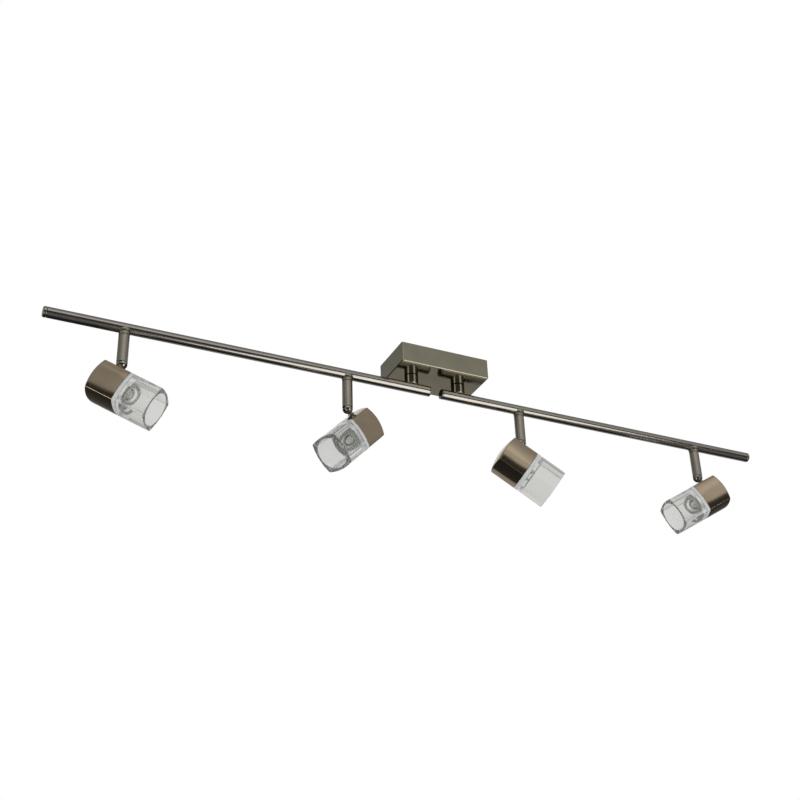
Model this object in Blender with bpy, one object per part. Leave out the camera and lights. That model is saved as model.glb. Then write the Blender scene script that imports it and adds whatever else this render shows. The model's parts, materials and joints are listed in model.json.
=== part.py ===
"""Ceiling-mounted swing-arm spot bar: a rectangular canopy, two swinging arms, four aimed glass heads.

Frame: origin at the centre of the ceiling mounting face, +X along the arms, +Z up into the ceiling.
Lengths below are millimetres and become metres in mm().
"""

import math

import bmesh
import bpy
from mathutils import Matrix, Vector

# ---- driving dimensions, millimetres ----
CANOPY_L, CANOPY_D, CANOPY_H, CANOPY_WALL = 112.0, 61.0, 25.0, 1.0
ROD_R, ROD_BORE_R, ROD_Z = 6.0, 4.8, -40.2
ARM_OUT, ARM_IN = 455.0, 7.2
OUTER_CAP_T, INNER_CAP_T = 3.6, 1.6
POST_X, POST_R = 30.4, 8.0
STEM_OUTER_X, STEM_INNER_X = 368.6, 111.9
STEM_R, COLLAR_BOTTOM, STEM_END, PIN_DROP = 5.95, 9.2, 42.9, 44.6
HEAD_CORNER, HEAD_BULGE = 18.2, 2.6  # half spacing of the corners, extra at mid-side
HOUSING_LEN, HOUSING_DOME, HOUSING_WALL = 32.6, 5.0, 1.4
BAND_LEN, SHADE_LEN, SHADE_WALL, SHADE_BACK = 4.8, 38.8, 3.0, 3.6
AXIS_DROP, JUNCTION = 28.0, 23.4  # pin to head axis; pin to housing mouth along the axis
KNUCKLE_R, SLOT_HALF, TONGUE_HALF, EYE_R, PIN_R = 5.9, 1.9, 1.6, 4.2, 1.3
BULB_R = 7.2
GAP = 0.3
# head: (stem x, swivel heading in degrees from +X, aim below horizontal in degrees)
HEADS = (
    (-STEM_OUTER_X, -27.2, 30.9),
    (-STEM_INNER_X, 198.9, 45.0),
    (STEM_INNER_X, -11.3, 35.1),
    (STEM_OUTER_X, 164.0, 30.0),
)

COLOURS = {
    "canopy_bronze": ((0.33, 0.30, 0.26), 0.9, 0.22),
    "arm_pewter": ((0.30, 0.28, 0.26), 1.0, 0.16),
    "stem_satin": ((0.36, 0.33, 0.29), 0.9, 0.38),
    "knuckle_chrome": ((0.55, 0.54, 0.52), 1.0, 0.08),
    "housing_bronze": ((0.42, 0.36, 0.29), 1.0, 0.14),
    "zinc_steel": ((0.62, 0.62, 0.60), 0.9, 0.35),
    "ground_green": ((0.08, 0.35, 0.14), 0.3, 0.4),
    "ceramic_white": ((0.86, 0.85, 0.81), 0.0, 0.5),
    "terminal_white": ((0.85, 0.85, 0.83), 0.0, 0.45),
    "lead_black": ((0.05, 0.05, 0.05), 0.0, 0.5),
    "gasket_white": ((0.88, 0.90, 0.92), 0.0, 0.55),
    "clear_glass": ((0.93, 0.96, 0.96), 0.0, 0.04),
    "bulb_glass": ((0.95, 0.95, 0.92), 0.0, 0.08),
}


def mm(x, y, z):
    return Vector((x, y, z)) * 0.001


def clear_scene():
    for old in list(bpy.data.objects):
        bpy.data.objects.remove(old, do_unlink=True)


def material(name, slot):
    colour, metallic, roughness = COLOURS[slot]
    made = bpy.data.materials.new(name + "_finish")
    made.use_nodes = True
    shader = made.node_tree.nodes["Principled BSDF"]
    shader.inputs["Base Color"].default_value = (*colour, 1.0)
    shader.inputs["Metallic"].default_value = metallic
    shader.inputs["Roughness"].default_value = roughness
    if slot in ("clear_glass", "bulb_glass"):
        shader.inputs["Transmission Weight"].default_value = 1.0
        shader.inputs["IOR"].default_value = 1.47
    made.diffuse_color = (*colour, 1.0)
    return made


def new_object(name, mesh_data, slot, matrix=None):
    """A closed mesh with outward faces and its own material; matrix, if given, moves its points."""
    bmesh.ops.remove_doubles(mesh_data, verts=mesh_data.verts, dist=1e-7)
    if matrix is not None:
        bmesh.ops.transform(mesh_data, matrix=matrix, verts=mesh_data.verts)
    bmesh.ops.recalc_face_normals(mesh_data, faces=mesh_data.faces)
    mesh = bpy.data.meshes.new(name)
    mesh_data.to_mesh(mesh)
    mesh_data.free()
    obj = bpy.data.objects.new(name, mesh)
    bpy.context.scene.collection.objects.link(obj)
    if slot:
        mesh.materials.append(material(name, slot))
    return obj


def apply_boolean(obj, cutter, operation="DIFFERENCE"):
    step = obj.modifiers.new("step", "BOOLEAN")
    step.operation = operation
    step.solver = "EXACT"
    step.object = cutter
    bpy.context.view_layer.update()
    graph = bpy.context.evaluated_depsgraph_get()
    result = bpy.data.meshes.new_from_object(obj.evaluated_get(graph))
    obj.modifiers.clear()
    keep = obj.data.materials[0] if obj.data.materials else None
    old = obj.data
    obj.data = result
    result.name = obj.name
    if keep:
        result.materials.clear()
        result.materials.append(keep)
    bpy.data.meshes.remove(old)
    bpy.data.objects.remove(cutter, do_unlink=True)


def ring_mesh(rings, close_ends=True, loop=False):
    """Skins equal-length rings of points. loop joins the last ring to the first, as in a tube wall."""
    made = bmesh.new()
    rows = [[made.verts.new(point) for point in ring] for ring in rings]
    pairs = list(zip(rows, rows[1:]))
    if loop:
        pairs.append((rows[-1], rows[0]))
    for low, high in pairs:
        count = len(low)
        for i in range(count):
            j = (i + 1) % count
            made.faces.new((low[i], low[j], high[j], high[i]))
    if close_ends and not loop:
        made.faces.new(list(reversed(rows[0])))
        made.faces.new(rows[-1])
    return made


def lathe(profile, segments, hollow=False):
    """Turns (radius, z) points in mm about Z. A solid profile starts and ends at radius 0."""
    if hollow:
        rings = []
        for radius, z in profile:
            rings.append([polar(radius, 2 * math.pi * i / segments, z) for i in range(segments)])
        return ring_mesh(rings, loop=True)
    made = bmesh.new()
    rows = []
    for radius, z in profile:
        if radius <= 0:
            rows.append([made.verts.new(mm(0, 0, z))])
        else:
            angles = [2 * math.pi * i / segments for i in range(segments)]
            rows.append([made.verts.new(polar(radius, angle, z)) for angle in angles])
    for low, high in zip(rows, rows[1:]):
        for i in range(segments):
            j = (i + 1) % segments
            corners = [low[i % len(low)], low[j % len(low)], high[j % len(high)], high[i % len(high)]]
            face = []
            for corner in corners:
                if corner not in face:
                    face.append(corner)
            made.faces.new(face)
    return made


def polar(radius, angle, z):
    return mm(radius * math.cos(angle), radius * math.sin(angle), z)


def cylinder(radius, low, high, segments):
    return lathe([(0, low), (radius, low), (radius, high), (0, high)], segments)


def box(low, high):
    made = bmesh.new()
    bmesh.ops.create_cube(made, size=1.0)
    size = mm(*[high[i] - low[i] for i in range(3)])
    centre = mm(*[(high[i] + low[i]) / 2 for i in range(3)])
    for vert in made.verts:
        vert.co = Vector([vert.co[i] * size[i] + centre[i] for i in range(3)])
    return made


def place(x=0.0, y=0.0, z=0.0):
    return Matrix.Translation(mm(x, y, z))


def axis_empty(name, matrix, parent=None):
    """An empty on a joint's axis. What turns about that axis hangs on it."""
    made = bpy.data.objects.new(name, None)
    made.empty_display_size = 0.02
    bpy.context.scene.collection.objects.link(made)
    made.parent = parent
    made.matrix_local = matrix
    bpy.context.view_layer.update()
    return made


def hang_on(obj, axis):
    """Makes axis the parent of an object built in world space, which stays where it is."""
    obj.data.transform(axis.matrix_world.inverted())
    obj.parent = axis


def hang_local(obj, axis, matrix=None):
    """Makes axis the parent of an object built about its own origin."""
    obj.parent = axis
    if matrix is not None:
        obj.matrix_local = matrix


def shade_round_pieces():
    for obj in bpy.data.objects:
        if obj.type == "MESH":
            obj.data.shade_smooth()
            obj.data.set_sharp_from_angle(angle=math.radians(32))


ALONG_X = Matrix.Rotation(math.radians(90), 4, "Y")
ALONG_Y = Matrix.Rotation(math.radians(-90), 4, "X")


def cutter(mesh_data, matrix=None):
    made = new_object("cutter", mesh_data, None, matrix)
    made.hide_render = True
    return made


def rounded_rectangle(half_x, half_y, radius, z, per_corner):
    ring = []
    centres = ((1, 1, 0), (-1, 1, 90), (-1, -1, 180), (1, -1, 270))
    for sx, sy, start in centres:
        for i in range(per_corner + 1):
            angle = math.radians(start + 90 * i / per_corner)
            x = sx * (half_x - radius) + radius * math.cos(angle)
            y = sy * (half_y - radius) + radius * math.sin(angle)
            ring.append(mm(x, y, z))
    return ring


# ---- canopy, fixed to the ceiling ----
def canopy_cover():
    half_x, half_y = CANOPY_L / 2, CANOPY_D / 2
    wall = CANOPY_WALL
    rings = [
        rounded_rectangle(half_x - wall, half_y - wall, 0.6, 0, 2),
        rounded_rectangle(half_x, half_y, 1.6, 0, 2),
        rounded_rectangle(half_x, half_y, 1.6, -CANOPY_H + 0.8, 2),
        rounded_rectangle(half_x - 0.8, half_y - 0.8, 0.8, -CANOPY_H, 2),
    ]
    outer = ring_mesh(rings[1:])
    obj = new_object("canopy_cover", outer, "canopy_bronze")
    inner = ring_mesh([
        rounded_rectangle(half_x - wall, half_y - wall, 0.6, 1, 2),
        rounded_rectangle(half_x - wall, half_y - wall, 0.6, -CANOPY_H + wall, 2),
    ])
    apply_boolean(obj, cutter(inner))
    for side in (-1, 1):
        hole = cylinder(4.4 + GAP, -CANOPY_H - 2, -CANOPY_H + 3, 20)
        apply_boolean(obj, cutter(hole, place(side * POST_X)))
        screw_hole = cylinder(2.3, -3, 3, 12)
        apply_boolean(obj, cutter(screw_hole, place(side * 38, half_y, -8) @ ALONG_Y))
    return obj


def mounting_strap():
    thick, leg, edge = 1.5, 6.0, 10.0
    inside = CANOPY_D / 2 - CANOPY_WALL - 0.5
    outline = []
    for sx, sy in ((1, -1), (1, 1), (-1, 1), (-1, -1)):
        corner = [(51, edge), (38 + leg, edge), (38 + leg, inside), (38 - leg, inside), (38 - leg, edge)]
        if sx * sy < 0:
            corner.reverse()
        outline += [(sx * x, sy * y) for x, y in corner]
    rings = [[mm(x, y, z) for x, y in outline] for z in (-thick, 0)]
    obj = new_object("mounting_strap", ring_mesh(rings), "zinc_steel")
    for side in (-1, 1):
        for way, drop in ((1, 13), (-1, 9)):
            low_y, high_y = sorted((way * (inside - 0.1), way * (inside - 0.1 - thick)))
            ear = box((side * 38 - 5.6, low_y, -drop), (side * 38 + 5.6, high_y, -thick / 2))
            apply_boolean(obj, cutter(ear), "UNION")
        tapped = cylinder(2.1, -3, 3, 12)
        apply_boolean(obj, cutter(tapped, place(side * 38, inside, -8) @ ALONG_Y))
        slot = ring_mesh([
            rounded_rectangle(6, 2.25, 2.2, -3, 5),
            rounded_rectangle(6, 2.25, 2.2, 1, 5),
        ])
        apply_boolean(obj, cutter(slot, place(side * 36)))
    apply_boolean(obj, cutter(cylinder(4.5, -3, 1, 20), place(-21)))
    apply_boolean(obj, cutter(cylinder(2.1, -3, 1, 12), place(21, -5.5)))
    return obj


def cover_screw(name, side):
    inner = CANOPY_D / 2 - 5.5
    outer = CANOPY_D / 2 + 0.2
    profile = [(0, inner), (1.3, inner), (1.8, inner + 0.6), (1.8, outer), (3.5, outer)]
    profile += [(3.5, outer + 1.1), (2.5, outer + 2.0), (0, outer + 2.2)]
    obj = new_object(name, lathe(profile, 14), "zinc_steel", place(side * 38, 0, -8) @ ALONG_Y)
    slot = box((-4, outer + 1.3, -0.4), (4, outer + 3, 0.4))
    apply_boolean(obj, cutter(slot, place(side * 38, 0, -8)))
    return obj


def terminal_block():
    rings = [
        rounded_rectangle(14, 7, 1, -1.8, 2),
        rounded_rectangle(14, 7, 1, -10.6, 2),
        rounded_rectangle(12.6, 5.6, 0.8, -12.2, 2),
    ]
    obj = new_object("terminal_block", ring_mesh(rings), "terminal_white")
    for x in (-8.5, 0, 8.5):
        apply_boolean(obj, cutter(cylinder(2, -13, -9.6, 10), place(x)))
    return obj


def ground_screw():
    profile = [(0, -4.4), (3.2, -4.2), (3.5, -3.4), (3.5, -1.8), (1.8, -1.8), (1.8, -0.3), (0, -0.3)]
    obj = new_object("ground_screw", lathe(profile, 12), "ground_green", place(21, -5.5))
    apply_boolean(obj, cutter(box((17, -5.9, -5), (25, -5.1, -3.7))))
    return obj


def swivel_bushing(name, side):
    """Hollow threaded tube that hangs the arm: nut above the canopy floor, flange captive in the post."""
    top, foot = -15.5, -33.2
    profile = [(2.8, top), (4.0, top), (4.4, top - 0.5), (4.4, foot + 1.5), (5.4, foot + 1.5)]
    profile += [(5.4, foot), (2.8, foot)]
    return new_object(name, lathe(profile, 20, hollow=True), "zinc_steel", place(side * POST_X))


def bushing_nut(name, side):
    low, high = -CANOPY_H + CANOPY_WALL + GAP, -CANOPY_H + CANOPY_WALL + GAP + 4.0
    radius = 6.5 / math.cos(math.radians(30))
    obj = new_object(name, cylinder(radius, low, high, 6), "zinc_steel", place(side * POST_X))
    bore = cylinder(4.4 + 0.2, low - 1, high + 1, 20)
    apply_boolean(obj, cutter(bore, place(side * POST_X)))
    return obj


def supply_lead(name, side):
    """Insulated lead from the terminal block into the bushing."""
    path = [(14.4, -8), (20, -8), (24, -8.6), (27.4, -10.6), (29.6, -13.6), (30.4, -17), (30.4, -23)]
    rings = []
    for i, (x, z) in enumerate(path):
        before, after = path[max(i - 1, 0)], path[min(i + 1, len(path) - 1)]
        run, rise = after[0] - before[0], after[1] - before[1]
        length = math.hypot(run, rise)
        up_x, up_z = -rise / length, run / length
        ring = []
        for k in range(10):
            angle = 2 * math.pi * k / 10
            off, sideways = 1.2 * math.cos(angle), 1.2 * math.sin(angle)
            ring.append(mm(side * (x + up_x * off), sideways, z + up_z * off))
        rings.append(ring)
    return new_object(name, ring_mesh(rings), "lead_black")


# ---- arms ----
def arm_tube(name, side):
    low = ARM_IN + INNER_CAP_T + GAP
    high = ARM_OUT - OUTER_CAP_T - GAP
    profile = [(ROD_BORE_R, low), (ROD_R, low), (ROD_R, high), (ROD_BORE_R, high)]
    turn = ALONG_X if side > 0 else Matrix.Rotation(math.radians(-90), 4, "Y")
    obj = new_object(name, lathe(profile, 24, hollow=True), "arm_pewter", place(z=ROD_Z) @ turn)
    wire_hole = cylinder(2.8, ROD_Z + 2, ROD_Z + 9, 12)
    apply_boolean(obj, cutter(wire_hole, place(side * POST_X)))
    for x in (STEM_INNER_X, STEM_OUTER_X):
        pivot_hole = cylinder(3.3, ROD_Z - 9, ROD_Z - 2, 16)
        apply_boolean(obj, cutter(pivot_hole, place(side * x)))
    return obj


def arm_cap(name, side, outer):
    """Turned plug closing a tube end. x is measured outwards from the open end of the tube."""
    if outer:
        face, away, thick, edge = ARM_OUT, 1, OUTER_CAP_T, 0.9
    else:
        face, away, thick, edge = ARM_IN, -1, INNER_CAP_T, 0.5
    seat = face - away * thick
    profile = [(0, seat - away * 5), (4.0, seat - away * 5), (4.5, seat - away * 4.4)]
    profile += [(4.5, seat), (ROD_R, seat), (ROD_R, face - away * edge)]
    profile += [(ROD_R - edge, face), (0, face)]
    turn = ALONG_X if side > 0 else Matrix.Rotation(math.radians(-90), 4, "Y")
    return new_object(name, lathe(profile, 24), "arm_pewter", place(z=ROD_Z) @ turn)


def arm_post(name, side):
    """Post that turns on the bushing and is saddled over the tube."""
    top, floor, step = -CANOPY_H - GAP, ROD_Z + 3.2, -31.4
    profile = [(4.4 + 0.2, top), (POST_R - 0.4, top), (POST_R, top - 0.4), (POST_R, floor + 0.8)]
    profile += [(POST_R - 0.8, floor), (5.8, floor), (5.8, step), (4.4 + 0.2, step)]
    obj = new_object(name, lathe(profile, 24, hollow=True), "arm_pewter", place(side * POST_X))
    saddle = cylinder(ROD_R + GAP, -20, 20, 24)
    apply_boolean(obj, cutter(saddle, place(side * POST_X, 0, ROD_Z) @ ALONG_X))
    return obj


def stem_collar(name, x):
    """Short collar saddled under the tube, flared where it meets it."""
    bottom = ROD_Z - COLLAR_BOTTOM
    profile = [(3.3, ROD_Z - 2), (6.9, ROD_Z - 2), (6.9, ROD_Z - 4.4), (6.3, ROD_Z - 5.6)]
    profile += [(6.0, ROD_Z - 7.0), (6.0, bottom + 0.3), (5.7, bottom), (3.3, bottom)]
    obj = new_object(name, lathe(profile, 16, hollow=True), "stem_satin", place(x))
    saddle = cylinder(ROD_R + GAP, -20, 20, 24)
    apply_boolean(obj, cutter(saddle, place(x, 0, ROD_Z) @ ALONG_X))
    return obj


# ---- heads ----
def swivel_frame(index):
    """Stem axis, at tube height, turned to the head's heading."""
    x, heading, _ = HEADS[index]
    return place(x, 0, ROD_Z) @ Matrix.Rotation(math.radians(heading), 4, "Z")


def tilt_frame(index):
    """In the swivel's frame: x along the aim, y from the pin to the head, z along the pin."""
    aim = math.radians(HEADS[index][2])
    rows = (
        (math.cos(aim), -math.sin(aim), 0),
        (0, 0, 1),
        (-math.sin(aim), -math.cos(aim), 0),
    )
    return place(0, 0, -PIN_DROP) @ Matrix(rows).to_4x4()


LAMP_FRAME = place(0, AXIS_DROP) @ ALONG_X @ Matrix.Rotation(math.pi / 2, 4, "Z")


def head_stem(name):
    """Swivelling stem: open at its foot for the knuckle, with a hollow spigot up into the tube."""
    top = -COLLAR_BOTTOM - 0.4
    profile = [(1.6, -1.8), (3.6, -1.8), (3.6, -2.8), (3.0, -2.8), (3.0, top), (STEM_R - 0.3, top)]
    profile += [(STEM_R, top - 0.3), (STEM_R, -STEM_END + 0.2), (STEM_R - 0.2, -STEM_END)]
    profile += [(4.8, -STEM_END), (4.8, -STEM_END + 14), (1.6, -STEM_END + 16)]
    return new_object(name, lathe(profile, 16, hollow=True), "stem_satin")


def head_knuckle(name):
    """Round-ended fork pressed up into the stem; the slot takes the tongue."""
    pin = -PIN_DROP
    lip = -STEM_END - GAP
    profile = [(0, -STEM_END + 12.5), (4.0, -STEM_END + 12.5), (4.5, -STEM_END + 12), (4.5, lip)]
    start = math.asin((lip - pin) / KNUCKLE_R)
    for i in range(6):
        angle = start - (start + math.pi / 2) * i / 5
        profile.append((max(KNUCKLE_R * math.cos(angle), 0), pin + KNUCKLE_R * math.sin(angle)))
    profile.reverse()
    obj = new_object(name, lathe(profile, 16), "knuckle_chrome")
    slot = box((-8, -SLOT_HALF, pin - 9), (8, SLOT_HALF, pin + EYE_R + 0.4))
    apply_boolean(obj, cutter(slot))
    bore = cylinder(PIN_R + 0.15, -9, 9, 10)
    apply_boolean(obj, cutter(bore, place(0, 0, pin) @ ALONG_Y))
    return obj


def head_pin(name):
    profile = [(0, -5.5), (1.0, -5.5), (PIN_R, -5.2), (PIN_R, 5.2), (1.0, 5.5), (0, 5.5)]
    return new_object(name, lathe(profile, 10), "knuckle_chrome")


def head_tongue(name):
    """Eye on the pin, neck, and round foot against the housing."""
    foot_top, foot_face = 6.15, AXIS_DROP - HEAD_CORNER - HEAD_BULGE - GAP
    eye = cylinder(EYE_R, -TONGUE_HALF, TONGUE_HALF, 16)
    obj = new_object(name, eye, "knuckle_chrome")
    neck = box((-2.2, 0, -TONGUE_HALF), (2.2, foot_face - 0.2, TONGUE_HALF))
    apply_boolean(obj, cutter(neck), "UNION")
    foot_profile = [(0, foot_top), (3.8, foot_top), (4.1, foot_top + 0.3), (4.1, foot_face), (0, foot_face)]
    foot = lathe(foot_profile, 14)
    apply_boolean(obj, cutter(foot, ALONG_Y), "UNION")
    stud = cylinder(1.9, foot_face - 0.5, foot_face + 4.2, 10)
    apply_boolean(obj, cutter(stud, ALONG_Y), "UNION")
    apply_boolean(obj, cutter(cylinder(PIN_R + 0.15, -5, 5, 10)))
    return obj


def head_section(corner, bulge, x, nick=0.7, per_side=4, dome=0.0):
    """Square with bowed sides about the head axis, its corners nicked; dome pushes the middle back."""
    ring = []
    for quarter in range(4):
        turn = quarter * math.pi / 2
        for i in range(per_side + 1):
            t = -1 + 2 * i / per_side
            reach = corner - nick
            out = corner + bulge * (1 - t * t) - (nick * 0.35 if i in (0, per_side) else 0)
            u, v = out, reach * t
            y = u * math.cos(turn) - v * math.sin(turn)
            z = u * math.sin(turn) + v * math.cos(turn)
            back = dome * (1 - (y * y + z * z) / (2 * HEAD_CORNER * HEAD_CORNER))
            ring.append(mm(x - back, AXIS_DROP + y, z))
    return ring


def head_housing(name):
    back = JUNCTION - HOUSING_LEN
    corner, bulge, wall = HEAD_CORNER, HEAD_BULGE, HOUSING_WALL
    outer = [
        head_section(corner, bulge, JUNCTION),
        head_section(corner, bulge, back + 0.5, dome=HOUSING_DOME),
        head_section(corner - 0.5, bulge, back, dome=HOUSING_DOME),
        head_section(corner * 0.66, bulge * 0.66, back, dome=HOUSING_DOME),
        head_section(corner * 0.33, bulge * 0.33, back, nick=0.3, dome=HOUSING_DOME),
    ]
    obj = new_object(name, ring_mesh(outer), "housing_bronze")
    shell = corner - wall
    inner = [
        head_section(shell, bulge, JUNCTION + 1, nick=0.5),
        head_section(shell, bulge, back + wall, nick=0.5, dome=HOUSING_DOME),
        head_section(shell * 0.5, bulge * 0.5, back + wall, nick=0.3, dome=HOUSING_DOME),
    ]
    apply_boolean(obj, cutter(ring_mesh(inner)))
    stud_hole = cylinder(2.25, 4, 14, 10)
    apply_boolean(obj, cutter(stud_hole, ALONG_Y))
    return obj


def head_gasket(name):
    """Pale ring between housing and shade, with a lip inside the housing."""
    face = JUNCTION + GAP
    corner, bulge = HEAD_CORNER, HEAD_BULGE
    outer = [
        head_section(corner - HOUSING_WALL - 0.4, bulge, JUNCTION - 4, nick=0.5),
        head_section(corner - HOUSING_WALL - 0.4, bulge, face, nick=0.5),
        head_section(corner, bulge, face),
        head_section(corner, bulge, JUNCTION + BAND_LEN),
    ]
    obj = new_object(name, ring_mesh(outer), "gasket_white")
    hole = cylinder(9.0, JUNCTION - 8, JUNCTION + 10, 20)
    apply_boolean(obj, cutter(hole, place(0, AXIS_DROP) @ ALONG_X))
    return obj


def head_shade(name):
    """Thick pressed-glass shade, open at the front, with a round hole in its back wall."""
    back = JUNCTION + BAND_LEN + GAP
    front = JUNCTION + SHADE_LEN
    corner, bulge = HEAD_CORNER, HEAD_BULGE
    outer = [
        head_section(corner, bulge, back),
        head_section(corner, bulge, front - 0.6),
        head_section(corner - 0.6, bulge, front),
    ]
    obj = new_object(name, ring_mesh(outer), "clear_glass")
    bore = corner - SHADE_WALL
    inner = [
        head_section(bore - 1.2, bulge, back + SHADE_BACK, nick=3.4),
        head_section(bore, bulge, back + SHADE_BACK + 1.4, nick=3.4),
        head_section(bore, bulge, front + 1, nick=3.4),
    ]
    apply_boolean(obj, cutter(ring_mesh(inner)))
    hole = cylinder(10.6, back - 2, back + SHADE_BACK + 2, 20)
    apply_boolean(obj, cutter(hole, place(0, AXIS_DROP) @ ALONG_X))
    return obj


def head_lampholder(name):
    """Ceramic two-pin lampholder standing on the housing's back wall."""
    low, high = -11.2, -1.6
    rings = [
        rounded_rectangle(8.6, 6.4, 3.0, low, 2),
        rounded_rectangle(8.6, 6.4, 3.0, high - 0.8, 2),
        rounded_rectangle(7.8, 5.6, 2.6, high, 2),
    ]
    obj = new_object(name, ring_mesh(rings), "ceramic_white")
    for side in (-1, 1):
        apply_boolean(obj, cutter(cylinder(1.4, -7.5, 0, 8), place(side * 4.5)))
    return obj


def head_bulb(name):
    """Two-pin capsule lamp: pins, flat base and round-ended capsule in one body."""
    base, front = -1.2, 31.5
    profile = [(0, base), (5.4, base), (6.2, base + 0.8), (6.2, base + 9), (BULB_R, base + 11)]
    centre = front - BULB_R
    for i in range(4):
        angle = math.pi / 2 * i / 4
        profile.append((BULB_R * math.cos(angle), centre + BULB_R * math.sin(angle)))
    profile.append((0, front))
    obj = new_object(name, lathe(profile, 14), "bulb_glass")
    for side in (-1, 1):
        apply_boolean(obj, cutter(cylinder(0.8, -6.5, base + 2, 6), place(side * 4.5)), "UNION")
    return obj


def build_arm(label, side):
    arm = f"arm_{label}"
    axis = axis_empty(f"{arm}_axis", place(side * POST_X, 0, ROD_Z))
    pieces = [
        arm_tube(f"{arm}_tube", side),
        arm_cap(f"{arm}_outer_cap", side, True),
        arm_cap(f"{arm}_inner_cap", side, False),
        arm_post(f"{arm}_post", side),
        stem_collar(f"{arm}_collar_outer", side * STEM_OUTER_X),
        stem_collar(f"{arm}_collar_inner", side * STEM_INNER_X),
    ]
    for piece in pieces:
        hang_on(piece, axis)
    return axis


def build_head(index, arm_axis):
    head = f"head_{index + 1}"
    turned = arm_axis.matrix_world.inverted() @ swivel_frame(index)
    swivel = axis_empty(f"{head}_swivel_axis", turned, arm_axis)
    tilt = axis_empty(f"{head}_tilt_axis", tilt_frame(index), swivel)
    hang_local(head_stem(f"{head}_stem"), swivel)
    hang_local(head_knuckle(f"{head}_knuckle"), swivel)
    hang_local(head_pin(f"{head}_pin"), swivel, place(0, 0, -PIN_DROP) @ ALONG_Y)
    hang_local(head_tongue(f"{head}_tongue"), tilt)
    hang_local(head_housing(f"{head}_housing"), tilt)
    hang_local(head_gasket(f"{head}_gasket"), tilt)
    hang_local(head_shade(f"{head}_shade"), tilt)
    hang_local(head_lampholder(f"{head}_lampholder"), tilt, LAMP_FRAME)
    hang_local(head_bulb(f"{head}_bulb"), tilt, LAMP_FRAME)


def build():
    clear_scene()
    canopy_cover()
    mounting_strap()
    terminal_block()
    ground_screw()
    axes = {}
    for label, side in (("left", -1), ("right", 1)):
        cover_screw(f"cover_screw_{label}", side)
        swivel_bushing(f"swivel_bushing_{label}", side)
        bushing_nut(f"bushing_nut_{label}", side)
        supply_lead(f"supply_lead_{label}", side)
        axes[side] = build_arm(label, side)
    for index, (x, _, _) in enumerate(HEADS):
        build_head(index, axes[-1 if x < 0 else 1])
    shade_round_pieces()


build()
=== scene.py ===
"""Looks of the swing-arm spot bar: fine meshes, finishes, studio light and camera.

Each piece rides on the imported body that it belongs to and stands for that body's plain solid.
Lengths are millimetres, which mm() makes metres; the floor, lights and camera are in metres.
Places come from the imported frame's boxes and joints.
"""

import json
import math

import bmesh
import bpy
from mathutils import Euler, Matrix, Vector

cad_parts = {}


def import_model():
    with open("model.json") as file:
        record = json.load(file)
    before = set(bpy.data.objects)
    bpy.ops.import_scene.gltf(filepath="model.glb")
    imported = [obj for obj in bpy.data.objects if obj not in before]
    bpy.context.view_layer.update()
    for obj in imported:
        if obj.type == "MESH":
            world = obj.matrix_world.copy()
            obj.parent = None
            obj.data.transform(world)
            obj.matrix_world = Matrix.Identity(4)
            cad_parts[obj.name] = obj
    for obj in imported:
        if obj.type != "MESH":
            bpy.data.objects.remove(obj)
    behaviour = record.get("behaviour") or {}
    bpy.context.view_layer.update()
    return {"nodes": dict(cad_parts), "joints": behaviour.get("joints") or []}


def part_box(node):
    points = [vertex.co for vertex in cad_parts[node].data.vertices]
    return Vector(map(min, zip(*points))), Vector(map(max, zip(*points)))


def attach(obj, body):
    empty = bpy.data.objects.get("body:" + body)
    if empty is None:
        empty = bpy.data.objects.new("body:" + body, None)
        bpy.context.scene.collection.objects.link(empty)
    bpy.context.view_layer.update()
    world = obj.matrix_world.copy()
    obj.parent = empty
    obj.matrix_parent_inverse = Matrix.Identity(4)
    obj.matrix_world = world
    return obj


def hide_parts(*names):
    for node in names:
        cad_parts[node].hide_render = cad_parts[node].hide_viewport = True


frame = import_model()
JOINTS = {joint["name"]: joint for joint in frame["joints"]}

# ---- driving dimensions, millimetres, as the solids have them ----
CANOPY_WALL, CANOPY_CORNER, CANOPY_EDGE = 1.0, 1.6, 0.8
ROD_R, ROD_BORE_R = 6.0, 4.8
WIRE_HOLE_R, PIVOT_HOLE_R = 2.8, 3.3
POST_R, POST_HOLE_R = 8.0, 4.6
COLLAR_R, COLLAR_FLARE_R, COLLAR_DROP = 6.0, 6.9, 9.2
STEM_R, STEM_END, PIN_DROP = 5.95, 42.9, 44.6
KNUCKLE_R, SLOT_HALF, TONGUE_HALF, EYE_R, PIN_R = 5.9, 1.9, 1.6, 4.2, 1.3
HEAD_CORNER, HEAD_BULGE = 18.2, 2.6
HOUSING_LEN, HOUSING_DOME, HOUSING_WALL = 32.6, 5.0, 1.4
BAND_LEN, SHADE_LEN, SHADE_WALL, SHADE_BACK = 4.8, 38.8, 3.0, 3.6
AXIS_DROP, JUNCTION = 28.0, 23.4
BULB_R, BULB_NECK_R = 7.2, 6.2
BAND_HOLE_R, SHADE_HOLE_R = 9.0, 10.6
GAP = 0.3
BUSHING_HOLE_R, NUT_BORE_R, SCREW_HOLE_R = 4.7, 4.6, 2.3
STUD_HOLE_R, LAMP_PIN_R, LAMP_PIN_SPACING = 2.25, 0.8, 9.0
HIGHEST_AIM = 10.0  # degrees above the horizon at the upper tilt stop

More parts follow.
